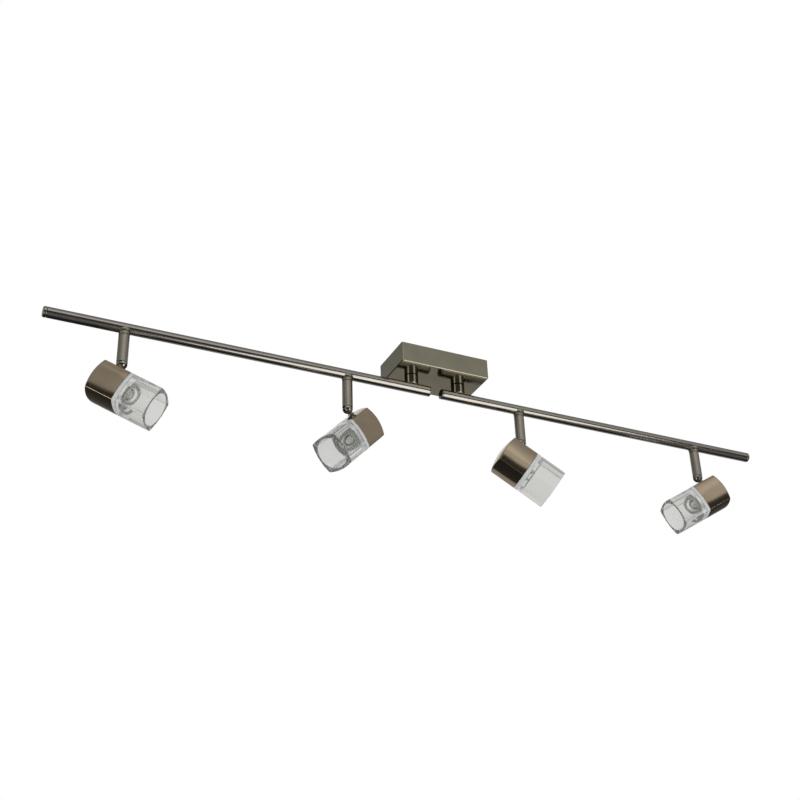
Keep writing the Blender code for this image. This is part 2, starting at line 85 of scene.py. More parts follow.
# ---- chosen for the fine meshes and the studio ----
SEAT_GAP = 0.1  # between the rod and what is saddled on it, where the solids leave 0.3
PIN_PLAY = 0.15
ENVELOPE_WALL, COIL_TURNS, COIL_R, COIL_HALF = 0.8, 14, 0.9, 3.2
SHARP_ANGLE = 50  # degrees between faces, above which an edge stays crisp
HEADS = ("head_1", "head_2", "head_3", "head_4")
ROUND, VERY_ROUND = 72, 96  # segments round a visible turned piece, and round the arms
FLOOR_SIZE, FLOOR_Z = 60, -2.6  # metres
BACKDROP = (0.32, 0.70, 0.64)  # direction of the white sweep behind the object
CAMERA_AT, CAMERA_TURNS = (-0.62868, -1.18139, -0.79524), (119.2027, 1.7705, -25.2599)
CAMERA_LENS, SENSOR = 59.08, 36.0

ALONG_X = Matrix.Rotation(math.radians(90), 4, "Y")
ALONG_MINUS_X = Matrix.Rotation(math.radians(-90), 4, "Y")
ALONG_Y = Matrix.Rotation(math.radians(-90), 4, "X")


def mm(x, y, z):
    return Vector((x, y, z)) * 0.001


def place(x=0.0, y=0.0, z=0.0):
    return Matrix.Translation(mm(x, y, z))


def node_span(node):
    """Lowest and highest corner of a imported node, in millimetres."""
    low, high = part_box(node)
    return low * 1000, high * 1000


# ---- finishes ----
def new_material(name, colour, metallic, roughness):
    made = bpy.data.materials.new(name)
    made.use_nodes = True
    shader = made.node_tree.nodes["Principled BSDF"]
    shader.inputs["Base Color"].default_value = (*colour, 1.0)
    shader.inputs["Metallic"].default_value = metallic
    shader.inputs["Roughness"].default_value = roughness
    made.diffuse_color = (*colour, 1.0)
    return made, made.node_tree, shader


def noise(tree, scale, stretch=(1.0, 1.0, 1.0), detail=3.0):
    """Noise in the piece's own coordinates, which are metres."""
    coords = tree.nodes.new("ShaderNodeTexCoord")
    mapping = tree.nodes.new("ShaderNodeMapping")
    mapping.inputs["Scale"].default_value = stretch
    made = tree.nodes.new("ShaderNodeTexNoise")
    made.inputs["Scale"].default_value = scale
    made.inputs["Detail"].default_value = detail
    tree.links.new(coords.outputs["Object"], mapping.inputs["Vector"])
    tree.links.new(mapping.outputs["Vector"], made.inputs["Vector"])
    return made.outputs["Fac"]


def vary(tree, source, target, low, high):
    """Lets noise move a socket between two values."""
    ranged = tree.nodes.new("ShaderNodeMapRange")
    ranged.inputs["From Min"].default_value = 0.3
    ranged.inputs["From Max"].default_value = 0.7
    ranged.inputs["To Min"].default_value = low
    ranged.inputs["To Max"].default_value = high
    tree.links.new(source, ranged.inputs["Value"])
    tree.links.new(ranged.outputs["Result"], target)


def tint(tree, source, target, dark, light):
    ramp = tree.nodes.new("ShaderNodeValToRGB")
    ramp.color_ramp.elements[0].position = 0.3
    ramp.color_ramp.elements[1].position = 0.7
    ramp.color_ramp.elements[0].color = (*dark, 1.0)
    ramp.color_ramp.elements[1].color = (*light, 1.0)
    tree.links.new(source, ramp.inputs["Fac"])
    tree.links.new(ramp.outputs["Color"], target)


def relief(tree, source, shader, depth, strength=1.0):
    bump = tree.nodes.new("ShaderNodeBump")
    bump.inputs["Distance"].default_value = depth
    bump.inputs["Strength"].default_value = strength
    tree.links.new(source, bump.inputs["Height"])
    tree.links.new(bump.outputs["Normal"], shader.inputs["Normal"])


def plated(name, colour, roughness, smear=0.05, stretch=(1.0, 1.0, 1.0), orange_peel=0.000001):
    """Plated metal: clouded tone, hand-polished roughness and a faint orange peel."""
    made, tree, shader = new_material(name, colour, 1.0, roughness)
    dark = [value * 0.93 for value in colour]
    light = [min(value * 1.06, 1.0) for value in colour]
    tint(tree, noise(tree, 45), shader.inputs["Base Color"], dark, light)
    polish = noise(tree, 260, stretch, 5.0)
    vary(tree, polish, shader.inputs["Roughness"], roughness - smear / 2, roughness + smear / 2)
    relief(tree, noise(tree, 420, stretch, 2.0), shader, orange_peel)
    return made


def matt(name, colour, roughness, mottle=0.06, grain=0.00002, scale=700):
    """Moulded plastic, ceramic or rubber with a fine grain."""
    made, tree, shader = new_material(name, colour, 0.0, roughness)
    dark = [value * (1 - mottle) for value in colour]
    tint(tree, noise(tree, 160), shader.inputs["Base Color"], dark, colour)
    vary(tree, noise(tree, 420), shader.inputs["Roughness"], roughness - 0.06, roughness + 0.06)
    relief(tree, noise(tree, scale, detail=4.0), shader, grain)
    return made


def glass(name, colour, roughness, wave, clear=1.0):
    """Glass with the slow waves that pressing or blowing leaves. Below 1, clear makes it milky."""
    made, tree, shader = new_material(name, colour, 0.0, roughness)
    shader.inputs["Transmission Weight"].default_value = clear
    shader.inputs["IOR"].default_value = 1.5
    relief(tree, noise(tree, 110, detail=1.0), shader, wave)
    return made


def frosted(name, colour):
    """Translucent white band: light scatters through it."""
    made, tree, shader = new_material(name, colour, 0.0, 0.45)
    shader.inputs["Transmission Weight"].default_value = 0.25
    shader.inputs["IOR"].default_value = 1.45
    dark = [value * 0.95 for value in colour]
    tint(tree, noise(tree, 200), shader.inputs["Base Color"], dark, colour)
    vary(tree, noise(tree, 500), shader.inputs["Roughness"], 0.38, 0.52)
    relief(tree, noise(tree, 800, detail=3.0), shader, 0.000004)
    return made


def finishes():
    made = {
        "canopy_bronze": plated("canopy_bronze", (0.31, 0.285, 0.215), 0.13, 0.05),
        "arm_pewter": plated("arm_pewter", (0.40, 0.375, 0.335), 0.15, 0.05, orange_peel=0.0000002),
        "stem_satin": plated("stem_satin", (0.365, 0.335, 0.275), 0.30, 0.08),
        "knuckle_chrome": plated("knuckle_chrome", (0.44, 0.42, 0.39), 0.08, 0.04),
        "housing_bronze": plated("housing_bronze", (0.465, 0.375, 0.265), 0.12, 0.04),
        "zinc_steel": plated("zinc_steel", (0.60, 0.60, 0.57), 0.34, 0.16, orange_peel=0.00001),
        "ground_green": plated("ground_green", (0.10, 0.34, 0.15), 0.38, 0.1),
        "tungsten": plated("tungsten", (0.33, 0.32, 0.32), 0.35, 0.1),
        "ceramic_white": matt("ceramic_white", (0.83, 0.81, 0.76), 0.42),
        "terminal_white": matt("terminal_white", (0.82, 0.82, 0.79), 0.38),
        "lead_black": matt("lead_black", (0.035, 0.035, 0.037), 0.42),
        "gasket_white": frosted("gasket_white", (0.81, 0.83, 0.83)),
        "clear_glass": glass("clear_glass", (0.97, 0.968, 0.945), 0.015, 0.00003),
        "bulb_glass": glass("bulb_glass", (0.96, 0.955, 0.90), 0.16, 0.00002, 0.40),
    }
    return made


FINISH = finishes()


# ---- mesh tools ----
def eased(points, radius, steps=4, closed=False):
    """A polyline with each corner rounded by a short curve that starts radius before it."""
    points = [Vector(point) for point in points]
    count = len(points)
    made = []
    for i, corner in enumerate(points):
        if not closed and i in (0, count - 1):
            made.append(corner)
            continue
        before, after = points[i - 1], points[(i + 1) % count]
        into, out = before - corner, after - corner
        if into.length < 1e-6 or out.length < 1e-6 or into.angle(out) > math.radians(165):
            made.append(corner)
            continue
        start = corner + into.normalized() * min(radius, into.length * 0.45)
        end = corner + out.normalized() * min(radius, out.length * 0.45)
        for k in range(steps + 1):
            t = k / steps
            made.append(start * (1 - t) ** 2 + corner * 2 * t * (1 - t) + end * t * t)
    return made


def ring_mesh(rings, loop=False):
    """Skins equal-length rings. loop joins the last ring to the first; otherwise both ends are capped."""
    made = bmesh.new()
    rows = [[made.verts.new(point) for point in ring] for ring in rings]
    pairs = list(zip(rows, rows[1:]))
    if loop:
        pairs.append((rows[-1], rows[0]))
    for low, high in pairs:
        for i in range(len(low)):
            j = (i + 1) % len(low)
            made.faces.new((low[i], low[j], high[j], high[i]))
    if not loop:
        made.faces.new(list(reversed(rows[0])))
        made.faces.new(rows[-1])
    return made


def circle(radius, z, count):
    turns = [2 * math.pi * i / count for i in range(count)]
    return [mm(radius * math.cos(turn), radius * math.sin(turn), z) for turn in turns]


def turned(profile, count=ROUND, ease=0.25, hollow=False):
    """Turns a (radius, z) profile about Z. A solid profile starts and ends on the axis."""
    outline = eased([(radius, z, 0) for radius, z in profile], ease, closed=hollow)
    if hollow:
        return ring_mesh([circle(point.x, point.y, count) for point in outline], loop=True)
    return ring_mesh([circle(max(point.x, 0.01), point.y, count) for point in outline])


def plug(radius, low, high, count=ROUND, ease=0.25):
    """A plain cylinder along Z, mostly for cutting holes."""
    return turned([(0, low), (radius, low), (radius, high), (0, high)], count, ease)


def rounded_rectangle(half_x, half_y, radius, z, per_corner):
    ring = []
    for sx, sy, start in ((1, 1, 0), (-1, 1, 90), (-1, -1, 180), (1, -1, 270)):
        for i in range(per_corner + 1):
            angle = math.radians(start + 90 * i / per_corner)
            x = sx * (half_x - radius) + radius * math.cos(angle)
            y = sy * (half_y - radius) + radius * math.sin(angle)
            ring.append(mm(x, y, z))
    return ring


def block(low, high, ease):
    """A box with eased long edges, its length along Z."""
    half_x, half_y = (high[0] - low[0]) / 2, (high[1] - low[1]) / 2
    centre = mm((high[0] + low[0]) / 2, (high[1] + low[1]) / 2, 0)
    rings = []
    for inset, z in ((ease, low[2]), (0, low[2] + ease), (0, high[2] - ease), (ease, high[2])):
        corner = max(ease - inset, ease * 0.4)
        rings.append([p + centre for p in rounded_rectangle(half_x - inset, half_y - inset, corner, z, 4)])
    return ring_mesh(rings)


def as_object(name, mesh_data):
    bmesh.ops.remove_doubles(mesh_data, verts=mesh_data.verts, dist=1e-7)
    bmesh.ops.recalc_face_normals(mesh_data, faces=mesh_data.faces)
    mesh = bpy.data.meshes.new(name)
    mesh_data.to_mesh(mesh)
    mesh_data.free()
    obj = bpy.data.objects.new(name, mesh)
    bpy.context.scene.collection.objects.link(obj)
    return obj


def combine(obj, mesh_data, matrix=None, operation="DIFFERENCE"):
    """Cuts a shape out of obj, or joins it on, and leaves one plain mesh."""
    if matrix is not None:
        bmesh.ops.transform(mesh_data, matrix=matrix, verts=mesh_data.verts)
    tool = as_object("tool", mesh_data)
    step = obj.modifiers.new("step", "BOOLEAN")
    step.operation = operation
    step.solver = "EXACT"
    step.object = tool
    bpy.context.view_layer.update()
    graph = bpy.context.evaluated_depsgraph_get()
    result = bpy.data.meshes.new_from_object(obj.evaluated_get(graph))
    obj.modifiers.clear()
    obj.data = result
    result.name = obj.name
    bpy.data.objects.remove(tool, do_unlink=True)


def fit(obj, matrix, body, slot, *nodes, finish=None):
    """Places, shades and paints a piece, and ties it to its body and the solids it stands for."""
    obj.data.transform(matrix)
    obj.data.materials.clear()
    obj.data.materials.append(FINISH[finish or slot])
    obj.data.shade_smooth()
    obj.data.set_sharp_from_angle(angle=math.radians(SHARP_ANGLE))
    even = obj.modifiers.new("even_normals", "WEIGHTED_NORMAL")
    even.keep_sharp = True
    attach(obj, body)
    if nodes:
        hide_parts(*nodes)
    return obj


# ---- canopy ----
def canopy_cover():
    low, high = node_span("canopy_cover")
    half_x, half_y, drop = high.x, high.y, low.z
    wall, corner, edge = CANOPY_WALL, CANOPY_CORNER, CANOPY_EDGE
    rings = [
        rounded_rectangle(half_x - wall - 0.5, half_y - wall - 0.5, 0.4, drop + wall, 8),
        rounded_rectangle(half_x - wall, half_y - wall, 0.6, drop + wall + 0.5, 8),
        rounded_rectangle(half_x - wall, half_y - wall, 0.6, -0.2, 8),
        rounded_rectangle(half_x - wall + 0.2, half_y - wall + 0.2, 0.8, 0, 8),
        rounded_rectangle(half_x - 0.2, half_y - 0.2, corner - 0.2, 0, 8),
        rounded_rectangle(half_x, half_y, corner, -0.2, 8),
    ]
    for inset, rise in ((0, edge * 1.4), (0.12, edge), (edge * 0.9, 0.12), (edge * 1.25, 0)):
        rings.append(rounded_rectangle(half_x - inset, half_y - inset, corner - inset, drop + rise, 8))
    obj = as_object("cover", ring_mesh(rings))
    for side in (-1, 1):
        bush_low, bush_high = node_span(f"swivel_bushing_{'left' if side < 0 else 'right'}")
        hole_x = (bush_low.x + bush_high.x) / 2
        combine(obj, plug(BUSHING_HOLE_R, drop - 2, drop + 3), place(hole_x))
        screw_low, screw_high = node_span(f"cover_screw_{'left' if side < 0 else 'right'}")
        centre = (screw_low + screw_high) / 2
        hole = plug(SCREW_HOLE_R, -3, 3, 32)
        combine(obj, hole, place(centre.x, half_y, centre.z) @ ALONG_Y)
    return fit(obj, Matrix(), "canopy", "canopy_bronze", "canopy_cover")


def slotted_screw(name, node, slot, head_down):
    """Pan-head screw: domed head, driver slot and a plain shank, in the place of its solid."""
    low, high = node_span(node)
    centre = (low + high) / 2
    length = (high.z - low.z) if head_down else (high.y - low.y)
    head_r, shank_r, head_t = 3.5, 1.8, 2.0
    profile = [(0, 0), (shank_r - 0.5, 0), (shank_r, 0.6), (shank_r, length - head_t - 0.1)]
    profile += [(head_r, length - head_t - 0.1), (head_r, length - head_t * 0.55)]
    profile += [(head_r * 0.75, length - 0.35), (0, length)]
    obj = as_object(name, turned(profile, 40, 0.15))
    combine(obj, block((-4, -0.4, length - 0.9), (4, 0.4, length + 1), 0.05))
    if head_down:
        turn = place(centre.x, centre.y, high.z) @ Matrix.Rotation(math.pi, 4, "X")
    else:
        turn = place(centre.x, low.y, centre.z) @ ALONG_Y
    return fit(obj, turn, "canopy", slot, node)


def threaded_tube(outer, bore, length, pitch=1.0, depth=0.35):
    """Hollow tube with a helical thread along it and plain bore."""
    count, per_turn = 48, 8
    steps = int(length / pitch * per_turn)
    made = [circle(bore, 0, count)]
    for j in range(steps + 1):
        z = length * j / steps
        ring = []
        for i in range(count):
            phase = (z / pitch - i / count) % 1.0
            cut = depth * abs(2 * phase - 1)
            if j in (0, steps):
                cut = depth
            turn = 2 * math.pi * i / count
            radius = outer - cut
            ring.append(mm(radius * math.cos(turn), radius * math.sin(turn), z))
        made.append(ring)
    made.append(circle(bore, length, count))
    return ring_mesh(made, loop=True)


def bushing(label):
    """Threaded tube with a flange at its foot."""
    node = f"swivel_bushing_{label}"
    low, high = node_span(node)
    centre_x = (low.x + high.x) / 2
    flange_t, flange_r, thread_r, bore_r = 1.5, 5.4, 4.4, 2.8
    obj = as_object(f"bushing_{label}", threaded_tube(thread_r, bore_r, high.z - low.z - 0.4))
    foot = turned([(bore_r, 0), (flange_r, 0), (flange_r, flange_t), (bore_r, flange_t)], hollow=True)
    combine(obj, foot, operation="UNION")
    return fit(obj, place(centre_x, 0, low.z), "canopy", "zinc_steel", node)


def hex_nut(label):
    node = f"bushing_nut_{label}"
    low, high = node_span(node)
    centre_x = (low.x + high.x) / 2
    height = high.z - low.z
    radius = (high.x - low.x) / 2
    obj = as_object(f"nut_{label}", ring_mesh([circle(radius, 0, 6), circle(radius, height, 6)]))
    chamfer = [(0, 0), (radius * 0.86, 0), (radius * 1.02, 0.9), (radius * 1.02, height - 0.9)]
    chamfer += [(radius * 0.86, height), (0, height)]
    combine(obj, turned(chamfer, 64, 0.02), operation="INTERSECT")
    combine(obj, plug(NUT_BORE_R, -1, height + 1, 64, 0.02))
    return fit(obj, place(centre_x, 0, low.z), "canopy", "zinc_steel", node)


def swept_tube(points, radius, count=20, steps=8):
    """A round lead along a smooth curve through the points."""
    points = [Vector(point) for point in points]
    padded = [points[0] * 2 - points[1]] + points + [points[-1] * 2 - points[-2]]
    path = []
    for a, b, c, d in zip(padded, padded[1:], padded[2:], padded[3:]):
        for k in range(steps):
            t = k / steps
            run = (c - a) * t + (a * 2 - b * 5 + c * 4 - d) * t * t
            path.append(b + (run + (b * 3 - a - c * 3 + d) * t ** 3) * 0.5)
    path.append(points[-1])
    rings = []
    for i, point in enumerate(path):
        heading = (path[min(i + 1, len(path) - 1)] - path[max(i - 1, 0)]).normalized()
        across = Vector((0, 1, 0))
        other = heading.cross(across).normalized()
        ring = []
        for k in range(count):
            turn = 2 * math.pi * k / count
            off = across * math.cos(turn) + other * math.sin(turn)
            ring.append((point + off * radius) * 0.001)
        rings.append(ring)
    return ring_mesh(rings)


def supply_lead(label, side):
    """Insulated lead from the terminal block into the bushing."""
    path = [(14.4, -8), (20, -8), (24, -8.6), (27.4, -10.6), (29.6, -13.6), (30.4, -17), (30.4, -23)]
    obj = as_object(f"lead_{label}", swept_tube([(side * x, 0, z) for x, z in path], 1.2))
    return fit(obj, Matrix(), "canopy", "lead_black", f"supply_lead_{label}")


def terminal_block():
    """Moulded three-way block with a clamp screw down each well."""
    low, high = node_span("terminal_block")
    half_x, half_y = high.x, high.y
    rings = [
        rounded_rectangle(half_x - 0.4, half_y - 0.4, 0.8, high.z, 6),
        rounded_rectangle(half_x, half_y, 1.0, high.z - 0.4, 6),
        rounded_rectangle(half_x, half_y, 1.0, low.z + 1.6, 6),
        rounded_rectangle(half_x - 1.4, half_y - 1.4, 0.9, low.z + 0.1, 6),
        rounded_rectangle(half_x - 1.6, half_y - 1.6, 0.8, low.z, 6),
    ]
    obj = as_object("terminal_body", ring_mesh(rings))
    wells = (-8.5, 0.0, 8.5)
    for x in wells:
        combine(obj, plug(2, low.z - 1, low.z + 3.2, 32), place(x))
        for way in (-1, 1):
            mouth = block((-1.5, -1.5, -1), (1.5, 1.5, 3), 0.4)
            turn = place(x, way * half_y, (low.z + high.z) / 2 + 1) @ ALONG_Y
            combine(obj, mouth, turn @ (Matrix() if way < 0 else Matrix.Rotation(math.pi, 4, "X")))
    fit(obj, Matrix(), "canopy", "terminal_white", "terminal_block")
    for i, x in enumerate(wells):
        profile = [(0, low.z + 1.2), (1.6, low.z + 1.2), (1.7, low.z + 1.5)]
        profile += [(1.7, low.z + 3.0), (0, low.z + 3.0)]
        screw = as_object(f"clamp_screw_{i + 1}", turned(profile, 32, 0.1))
        combine(screw, block((-2, -0.3, low.z), (2, 0.3, low.z + 1.8), 0.05))
        fit(screw, place(x), "canopy", "zinc_steel")


def canopy():
    canopy_cover()
    for label, side in (("left", -1), ("right", 1)):
        slotted_screw(f"screw_{label}", f"cover_screw_{label}", "zinc_steel", False)
        bushing(label)
        hex_nut(label)
        supply_lead(label, side)
    slotted_screw("earth_screw", "ground_screw", "ground_green", True)
    terminal_block()
    strap = frame["nodes"]["mounting_strap"]
    strap.data.materials.clear()
    strap.data.materials.append(FINISH["zinc_steel"])


# ---- arms ----
def arm(label, side):
    body = f"arm_{label}"
    tube_low, tube_high = node_span(f"{body}_tube")
    rod_z = (tube_low.z + tube_high.z) / 2
    inner, outer = sorted((abs(tube_low.x), abs(tube_high.x)))
    turn = place(0, 0, rod_z) @ (ALONG_X if side > 0 else ALONG_MINUS_X)
    profile = [(ROD_BORE_R, inner), (ROD_R, inner), (ROD_R, outer), (ROD_BORE_R, outer)]
    obj = as_object(f"{body}_rod", turned(profile, VERY_ROUND, 0.2, hollow=True))
    obj.data.transform(turn)
    rod_hole(obj, f"{body}_post", WIRE_HOLE_R, rod_z + 2, rod_z + 9)
    for where in ("outer", "inner"):
        rod_hole(obj, f"{body}_collar_{where}", PIVOT_HOLE_R, rod_z - 9, rod_z - 2)
    fit(obj, Matrix(), body, "arm_pewter", f"{body}_tube")

    reach = max(abs(corner.x) for corner in node_span(f"{body}_outer_cap"))
    seat = outer + GAP
    profile = [(0, seat - 5), (4.0, seat - 5), (4.5, seat - 4.4), (4.5, seat), (ROD_R - 0.25, seat)]
    profile += [(ROD_R, seat + 0.3), (ROD_R, reach - 0.9), (ROD_R - 0.9, reach), (0, reach)]
    obj = as_object(f"{body}_end_plug", turned(profile, VERY_ROUND, 0.4))
    fit(obj, turn, body, "arm_pewter", f"{body}_outer_cap")

    face = min(abs(corner.x) for corner in node_span(f"{body}_inner_cap"))
    seat = inner - GAP
    profile = [(0, face), (ROD_R - 0.5, face), (ROD_R, face + 0.5), (ROD_R, seat - 0.2)]
    profile += [(ROD_R - 0.2, seat), (4.5, seat), (4.5, seat + 4.4), (4.0, seat + 5), (0, seat + 5)]
    obj = as_object(f"{body}_inner_plug", turned(profile, VERY_ROUND, 0.25))
    fit(obj, turn, body, "arm_pewter", f"{body}_inner_cap")

    post_low, post_high = node_span(f"{body}_post")
    top, foot, step = post_high.z, rod_z + 3.2, -31.4
    profile = [(POST_HOLE_R, top), (POST_R - 0.4, top), (POST_R, top - 0.4), (POST_R, foot + 0.8)]
    profile += [(POST_R - 0.8, foot), (5.8, foot), (5.8, step), (POST_HOLE_R, step)]
    centre = (post_low.x + post_high.x) / 2
    obj = as_object(f"{body}_swivel_post", turned(profile, VERY_ROUND, 0.25, hollow=True))
    saddle(obj, rod_z)
    fit(obj, place(centre), body, "arm_pewter", f"{body}_post")

    for where in ("outer", "inner"):
        collar_low, collar_high = node_span(f"{body}_collar_{where}")
        obj = as_object(f"{body}_{where}_collar", collar(rod_z))
        saddle(obj, rod_z)
        centre = (collar_low.x + collar_high.x) / 2
        fit(obj, place(centre), body, "stem_satin", f"{body}_collar_{where}")


def rod_hole(obj, node, radius, low, high):
    """Cuts a hole through one side of the rod's wall, under the post or over the collar at that node."""
    box_low, box_high = node_span(node)
    combine(obj, plug(radius, low, high, 48, 0.01), place((box_low.x + box_high.x) / 2))


def saddle(obj, rod_z):
    """Cuts the rod's round seat out of the post above it or a collar below it."""
    combine(obj, plug(ROD_R + SEAT_GAP, -20, 20, VERY_ROUND, 0.01), place(0, 0, rod_z) @ ALONG_X)


def collar(rod_z):
    bottom = rod_z - COLLAR_DROP
    profile = [(3.3, rod_z - 2), (COLLAR_FLARE_R, rod_z - 2), (COLLAR_FLARE_R, rod_z - 4.4)]
    profile += [(6.3, rod_z - 5.6), (COLLAR_R, rod_z - 7.0), (COLLAR_R, bottom + 0.3)]
    profile += [(5.7, bottom), (3.3, bottom)]
    return turned(profile, VERY_ROUND, 0.5, hollow=True)


# ---- heads ----
def head_frames(head):
    """(swivel frame at rod height, tilt frame with x along the aim and y from pin to head axis)."""
    tilt, swivel = JOINTS[f"{head}_tilt"], JOINTS[f"{head}_swivel"]
    across = Vector(tilt["axis"])
    heading = math.atan2(-across.x, across.y)
    aim = math.radians(-tilt["range_deg"][0] - HIGHEST_AIM)
    pin = Vector(tilt["pos_m"])
    turned_frame = Matrix.Rotation(heading, 4, "Z")
    swivel_at = Matrix.Translation((swivel["pos_m"][0], swivel["pos_m"][1], pin.z + PIN_DROP * 0.001))
    rows = (
        (math.cos(aim), -math.sin(aim), 0),
        (0, 0, 1),
        (-math.sin(aim), -math.cos(aim), 0),
    )
    return swivel_at @ turned_frame, Matrix.Translation(pin) @ turned_frame @ Matrix(rows).to_4x4()


LAMP_AXIS = place(0, AXIS_DROP) @ ALONG_X @ Matrix.Rotation(math.pi / 2, 4, "Z")


def head_outline(corner, bulge, soften, x, dome=0.0, per_side=14, per_corner=6):
    """Square with bowed sides about the head axis, its corners rounded, in the plane x."""
    reach = corner - soften
    slope = 2 * bulge / reach
    meet = (corner + slope * reach) / (1 + slope)
    side = []
    for i in range(per_side + 1):
        t = -1 + 2 * i / per_side
        side.append((corner + bulge * (1 - t * t), reach * t))
    for i in range(1, per_corner):
        t = i / per_corner
        u = corner * (1 - t) ** 2 + meet * 2 * t * (1 - t) + reach * t * t
        v = reach * (1 - t) ** 2 + meet * 2 * t * (1 - t) + corner * t * t
        side.append((u, v))
    ring = []
    for quarter in range(4):
        turn = quarter * math.pi / 2
        for u, v in side:
            y = u * math.cos(turn) - v * math.sin(turn)
            z = u * math.sin(turn) + v * math.cos(turn)
            back = dome * (1 - (y * y + z * z) / (2 * HEAD_CORNER * HEAD_CORNER))
            ring.append(mm(x - back, AXIS_DROP + y, z))
    return ring


def round_like(ring, radius, x):
    """A circle about the head axis with a point for each point of ring, at the same angle."""
    made = []
    for point in ring:
        turn = math.atan2(point.z, point.y - AXIS_DROP * 0.001)
        made.append(mm(x, AXIS_DROP + radius * math.cos(turn), radius * math.sin(turn)))
    return made


def stem(head, swivel):
    top = -COLLAR_DROP - 0.4
    profile = [(1.6, -1.8), (3.6, -1.8), (3.6, -2.8), (3.0, -2.8), (3.0, top), (STEM_R - 0.3, top)]
    profile += [(STEM_R, top - 0.3), (STEM_R, -STEM_END + 0.2), (STEM_R - 0.2, -STEM_END)]
    profile += [(4.8, -STEM_END), (4.8, -STEM_END + 14), (1.6, -STEM_END + 16)]
    obj = as_object(f"{head}_stem_tube", turned(profile, ROUND, 0.2, hollow=True))
    fit(obj, swivel, f"{head}_swivel", "stem_satin", f"{head}_stem")


def knuckle(head, swivel):
    pin, lip = -PIN_DROP, -STEM_END - GAP
    profile = []
    start = math.asin((lip - pin) / KNUCKLE_R)
    for i in range(19):
        angle = -math.pi / 2 + (start + math.pi / 2) * i / 18
        profile.append((KNUCKLE_R * math.cos(angle), pin + KNUCKLE_R * math.sin(angle)))
    profile += [(4.5, lip), (4.5, -STEM_END + 12), (4.0, -STEM_END + 12.5), (0, -STEM_END + 12.5)]
    obj = as_object(f"{head}_fork", turned(profile, ROUND, 0.12))
    combine(obj, block((-8, -SLOT_HALF, pin - 9), (8, SLOT_HALF, pin + EYE_R + 0.4), 0.1))
    combine(obj, plug(PIN_R + PIN_PLAY, -9, 9, 40), place(0, 0, pin) @ ALONG_Y)
    fit(obj, swivel, f"{head}_swivel", "knuckle_chrome", f"{head}_knuckle")

    profile = [(0, -5.5), (0.9, -5.45), (PIN_R, -5.0), (PIN_R, 5.0), (0.9, 5.45), (0, 5.5)]
    rivet = as_object(f"{head}_rivet", turned(profile, 40, 0.3))
    fit(rivet, swivel @ place(0, 0, pin) @ ALONG_Y, f"{head}_swivel", "knuckle_chrome", f"{head}_pin")


def tongue(head, tilt):
    """Eye on the pin, waisted neck, round foot with a stud into the housing."""
    foot_top, foot_face = 6.15, AXIS_DROP - HEAD_CORNER - HEAD_BULGE - GAP
    half = TONGUE_HALF
    obj = as_object(f"{head}_eye", plug(EYE_R, -half, half, 64, 0.35))
    neck = block((-half, -2.2, 0), (half, 2.2, foot_face - 0.2), 0.4)
    combine(obj, neck, ALONG_Y @ Matrix.Rotation(math.pi / 2, 4, "Z"), "UNION")
    foot = [(0, foot_top), (3.8, foot_top), (4.1, foot_top + 0.3), (4.1, foot_face), (0, foot_face)]
    combine(obj, turned(foot, 64, 0.15), ALONG_Y, "UNION")
    combine(obj, plug(1.9, foot_face - 0.5, foot_face + 4.2, 40, 0.2), ALONG_Y, "UNION")
    combine(obj, plug(PIN_R + PIN_PLAY, -5, 5, 40))
    fit(obj, tilt, f"{head}_lamp", "knuckle_chrome", f"{head}_tongue")


def housing(head, tilt):
    """Spun cap with bowed sides, a rolled back edge and a domed back."""
    back = JUNCTION - HOUSING_LEN
    corner, bulge, wall, dome, soften = HEAD_CORNER, HEAD_BULGE, HOUSING_WALL, HOUSING_DOME, 1.1
    edge, steps = 0.9, 6
    rings = []
    for share in (0.02, 0.2, 0.4, 0.6, 0.8, 0.94):
        rings.append(head_outline((corner - edge) * share, bulge * share, soften * share, back, dome))
    for i in range(steps + 1):
        turn = math.pi / 2 * i / steps
        inset, x = edge * (1 - math.sin(turn)), back + edge * (1 - math.cos(turn))
        rings.append(head_outline(corner - inset, bulge, soften, x, dome))
    for x, fade in ((back + 3, 0.85), (back + 8, 0.5), (JUNCTION - 8, 0.1)):
        rings.append(head_outline(corner, bulge, soften, x, dome * fade))
    rings.append(head_outline(corner, bulge, soften, JUNCTION - 0.15))
    rings.append(head_outline(corner - 0.15, bulge, soften, JUNCTION))
    rings.append(head_outline(corner - wall + 0.15, bulge, soften, JUNCTION))
    rings.append(head_outline(corner - wall, bulge, soften, JUNCTION - 0.15))
    inner = back + wall
    rings.append(head_outline(corner - wall, bulge, soften, inner + 2, dome))
    rings.append(head_outline(corner - wall - 0.6, bulge, soften, inner, dome))
    for share in (0.8, 0.5, 0.2, 0.02):
        rings.append(head_outline((corner - wall) * share, bulge * share, soften * share, inner, dome))
    obj = as_object(f"{head}_cap", ring_mesh(rings))
    combine(obj, plug(STUD_HOLE_R, 4, 14, 40), ALONG_Y)
    fit(obj, tilt, f"{head}_lamp", "housing_bronze", f"{head}_housing")


def gasket(head, tilt):
    face, end = JUNCTION + GAP, JUNCTION + BAND_LEN
    corner, bulge, soften, hole = HEAD_CORNER, HEAD_BULGE, 1.1, BAND_HOLE_R
    lip = corner - HOUSING_WALL - 0.4
    shapes = (
        (lip - 0.3, JUNCTION - 4),
        (lip, JUNCTION - 3.7),
        (lip, face),
        (corner - 0.2, face),
        (corner, face + 0.2),
        (corner, end - 0.2),
        (corner - 0.2, end),
    )
    rings = [head_outline(size, bulge, soften, x) for size, x in shapes]
    outline = rings[-1]
    inner_end = JUNCTION - 4
    for radius, x in ((hole + 0.3, end), (hole, end - 0.3), (hole, inner_end + 0.3), (hole + 0.3, inner_end)):
        rings.append(round_like(outline, radius, x))
    obj = as_object(f"{head}_band", ring_mesh(rings, loop=True))
    fit(obj, tilt, f"{head}_lamp", "gasket_white", f"{head}_gasket")


